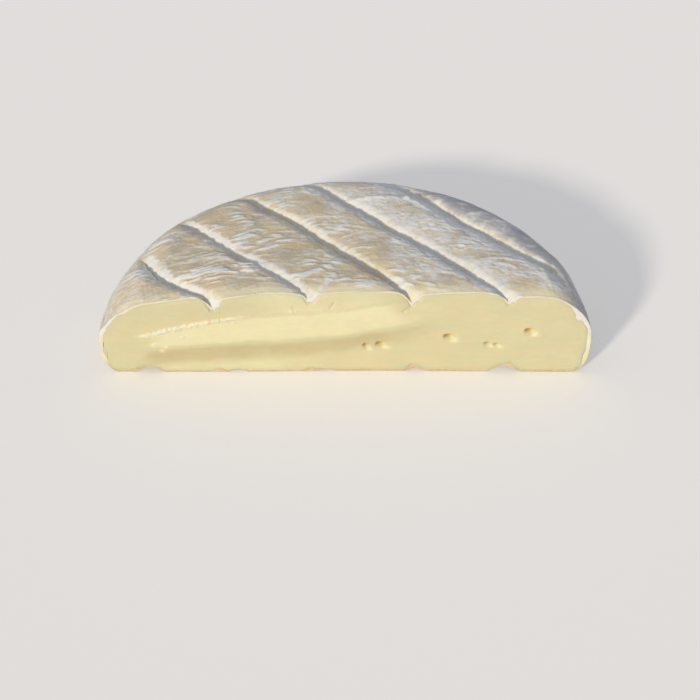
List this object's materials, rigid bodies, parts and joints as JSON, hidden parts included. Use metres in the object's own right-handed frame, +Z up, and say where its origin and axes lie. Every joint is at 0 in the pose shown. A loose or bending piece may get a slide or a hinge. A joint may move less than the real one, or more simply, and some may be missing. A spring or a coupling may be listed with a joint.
{
  "type": "half brillat-savarin cheese",
  "caption": "Half of a soft-ripened cheese wheel with a furrowed white bloomy rind on top and a smooth pale yellow cut face with a few small eyes.",
  "frame": {"origin": "centre of the part's box, on the face it rests on", "axes": "+X along the cut face, -Y out of the cut face, +Z up"},
  "size_m": [0.1386, 0.0715, 0.0287],
  "materials": {
    "rind": "dry, matt, velvety white mould over a tan skin, finely wrinkled",
    "paste": "smooth, moist, pale butter-yellow soft cheese with a dull sheen"
  },
  "bodies": {
    "root": {"cheese_half": "rind"}
  },
  "joints": []
}
